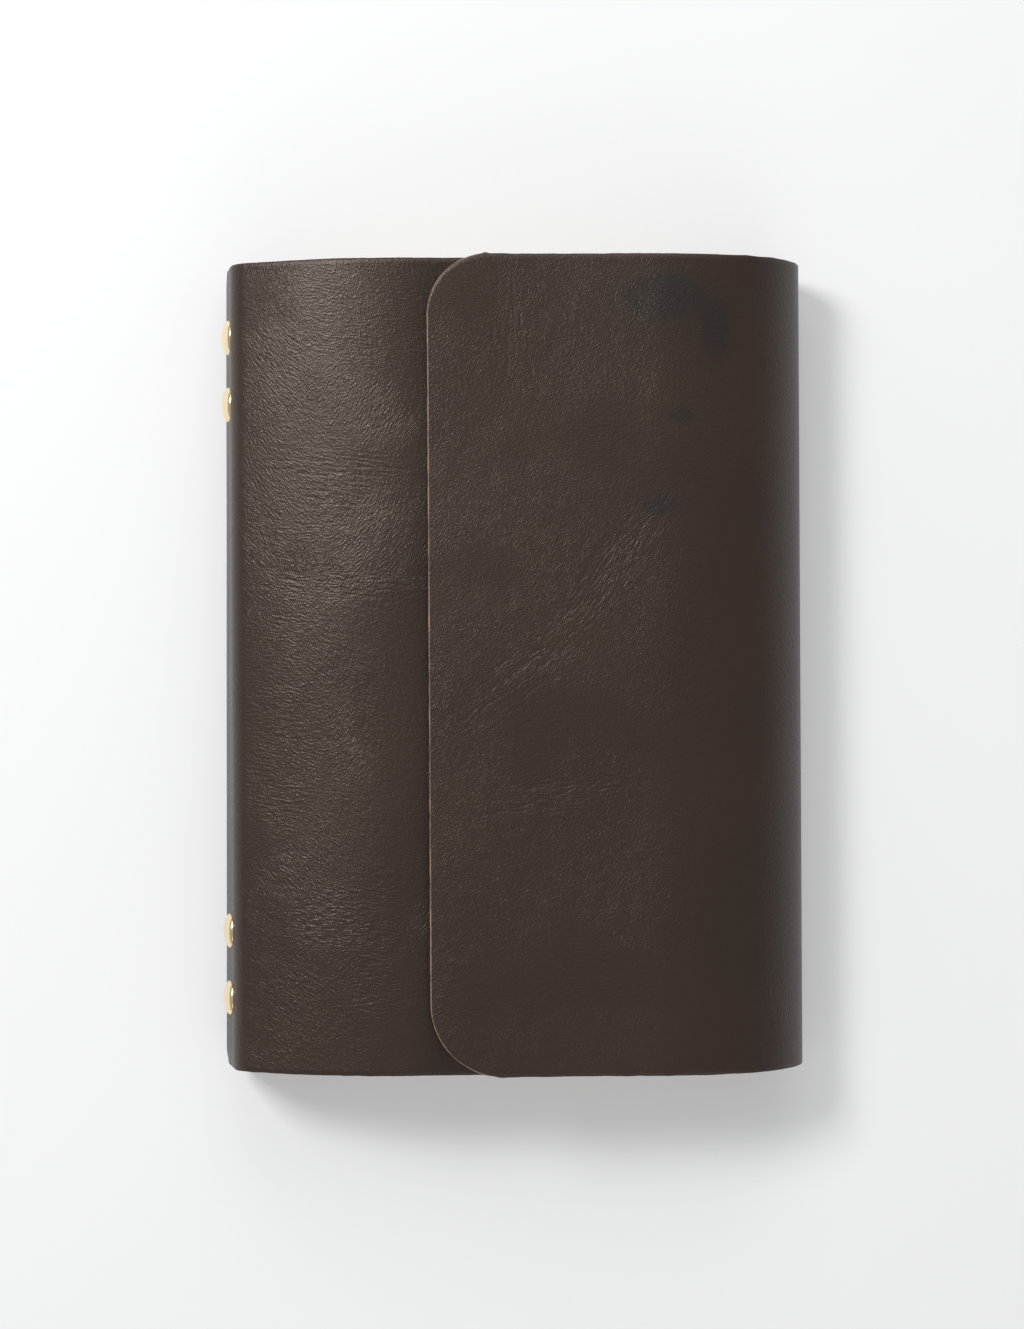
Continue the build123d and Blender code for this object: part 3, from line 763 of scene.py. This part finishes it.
rivet_caps = grow("rivet_caps", link_mesh("rivet places", places, []), domes, {
    "Cap radius": ("NodeSocketFloat", CAP_RADIUS * MM),
    "Dome height": ("NodeSocketFloat", DOME_HEIGHT * MM),
    "Axis": ("NodeSocketVector", tuple(cap_axis)),
})
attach(rivet_caps, "spine")
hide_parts(*RIVETS)

# %% [markdown]
# ## Pages
# A page is a thin sheet with rounded outer corners and six round holes. A block of them stands on the rings, so
# the sheets further from the middle slide towards the spine along the ring's circle. One sheet is cut as a flat
# outline, and a node tree stacks it, slides every copy to its place on the circle and shakes it a very little.

# %% One sheet with six holes
PAGE_WIDTH, PAGE_LENGTH, PAGE_CORNER = 95.0, 171.0, 3.0
NEAR_EDGE, HOLE_FROM_EDGE, HOLE_RADIUS, RING_RADIUS = 3.2, 5.5, 3.25, 8.7
HOLES = [side * place for side in (-1, 1) for place in (25.5, 44.5, 63.5)]
SHEET = 0.16
# The holes are larger than real ones and the sheets slide less than they would, so that nothing touches at the
# ends of the joints' travel.
SHEETS, SHEET_PITCH, FIRST_SHEET, SLIDE_SHARE, SHAKE = 32, 0.2, 0.25, 0.75, 0.08


def arc(centre_x, centre_y, radius, first, last, steps):
    """Points on an arc, in millimetres and degrees."""
    angles = np.radians(np.linspace(first, last, steps))
    return [(centre_x + radius * cos(t), centre_y + radius * sin(t)) for t in angles]


far, half_length = NEAR_EDGE + PAGE_WIDTH, PAGE_LENGTH / 2
outline = [(NEAR_EDGE, -half_length)]
outline += arc(far - PAGE_CORNER, -half_length + PAGE_CORNER, PAGE_CORNER, -90, 0, 5)
outline += arc(far - PAGE_CORNER, half_length - PAGE_CORNER, PAGE_CORNER, 0, 90, 5)
outline += [(NEAR_EDGE, half_length)]
loops = [outline] + [arc(NEAR_EDGE + HOLE_FROM_EDGE, y, HOLE_RADIUS, 0, 340, 18) for y in HOLES]
shape = bpy.data.curves.new("page outline", "CURVE")
shape.dimensions = "2D"
shape.fill_mode = "BOTH"
shape.extrude = SHEET / 2 * MM
for loop in loops:
    spline = shape.splines.new("POLY")
    spline.points.add(len(loop) - 1)
    for point, (x, y) in zip(spline.points, loop):
        point.co = (x * MM, y * MM, 0, 1)
    spline.use_cyclic_u = True


def page_blank():
    """The cut sheet as a closed mesh."""
    holder = bpy.data.objects.new("page curve", shape)
    mesh = bpy.data.meshes.new_from_object(holder)
    bpy.data.objects.remove(holder)
    work = bmesh.new()
    work.from_mesh(mesh)
    bmesh.ops.remove_doubles(work, verts=work.verts, dist=0.001 * MM)
    bmesh.ops.recalc_face_normals(work, faces=work.faces)
    work.to_mesh(mesh)
    work.free()
    item = bpy.data.objects.new("page blank", mesh)
    bpy.context.scene.collection.objects.link(item)
    return item


# %% Stack the sheets
def stack(group, given):
    """Copies of the base sheet on a rising line, slid along the ring's circle and slightly shaken."""
    rise = add(group, "ShaderNodeCombineXYZ", Z=given["Pitch"])
    start = add(group, "ShaderNodeCombineXYZ", Z=given["First sheet"])
    line = add(group, "GeometryNodeMeshLine", {"mode": "OFFSET"}, Count=given["Sheets"],
               Start_Location=start.outputs[0], Offset=rise.outputs[0])
    here = add(group, "GeometryNodeInputPosition").outputs[0]
    level = add(group, "ShaderNodeSeparateXYZ", Vector=here).outputs["Z"]
    ring = given["Ring radius"]
    ring_squared = add(group, "ShaderNodeMath", TIMES, i0=ring, i1=ring).outputs[0]
    level_squared = add(group, "ShaderNodeMath", TIMES, i0=level, i1=level).outputs[0]
    left_over = add(group, "ShaderNodeMath", MINUS, i0=ring_squared, i1=level_squared).outputs[0]
    reach = add(group, "ShaderNodeMath", ROOT, i0=left_over).outputs[0]
    less = add(group, "ShaderNodeMath", TIMES, i0=given["Shake"], i1=-1.0).outputs[0]
    shake = [add(group, "FunctionNodeRandomValue", {"data_type": "FLOAT"}, i2=less, i3=given["Shake"], Seed=seed)
             .outputs[1] for seed in (3, 8)]
    shortfall = add(group, "ShaderNodeMath", MINUS, i0=reach, i1=ring).outputs[0]
    share = add(group, "ShaderNodeMath", TIMES, i0=shortfall, i1=given["Slide"]).outputs[0]
    slide = add(group, "ShaderNodeMath", PLUS, i0=share, i1=shake[0]).outputs[0]
    moved = add(group, "GeometryNodeSetPosition", Geometry=line.outputs[0],
                Offset=add(group, "ShaderNodeCombineXYZ", X=slide, Y=shake[1]).outputs[0])
    sheets = add(group, "GeometryNodeInstanceOnPoints", Points=moved.outputs[0], Instance=given["Geometry"])
    real = add(group, "GeometryNodeRealizeInstances", Geometry=sheets.outputs[0])
    return add(group, "GeometryNodeSetMaterial", Geometry=real.outputs[0], Material=paper).outputs[0]


RING_CENTRE = Vector((-52.685, 0.0, 13.611)) * MM
PAGE_SLOPE = radians(2.6)
for name, side in (("pages_upper", 1), ("pages_lower", -1)):
    block = grow(f"{name}_sheets", page_blank(), stack, {
        "Sheets": ("NodeSocketInt", SHEETS),
        "Pitch": ("NodeSocketFloat", SHEET_PITCH * MM),
        "First sheet": ("NodeSocketFloat", FIRST_SHEET * MM),
        "Ring radius": ("NodeSocketFloat", RING_RADIUS * MM),
        "Slide": ("NodeSocketFloat", SLIDE_SHARE),
        "Shake": ("NodeSocketFloat", SHAKE * MM),
    })
    block.data.transform(Euler((0.0 if side > 0 else pi, 0, 0)).to_matrix().to_4x4())
    block.data.transform(Euler((0, PAGE_SLOPE, 0)).to_matrix().to_4x4())
    for vertex in block.data.vertices:
        vertex.co += RING_CENTRE
    block.data.update()
    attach(block, name)
    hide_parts(name)

# %% Materials on the CAD nodes that stay
for name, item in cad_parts.items():
    if name.startswith("rivet"):
        finish_with = brass
    elif name.startswith("half_ring") or name in ("ring_plate", "ring_lever_top", "ring_lever_bottom"):
        finish_with = nickel
    elif name.startswith("ring_blade"):
        finish_with = zinc
    else:
        continue
    item.data.materials.clear()
    item.data.materials.append(finish_with)
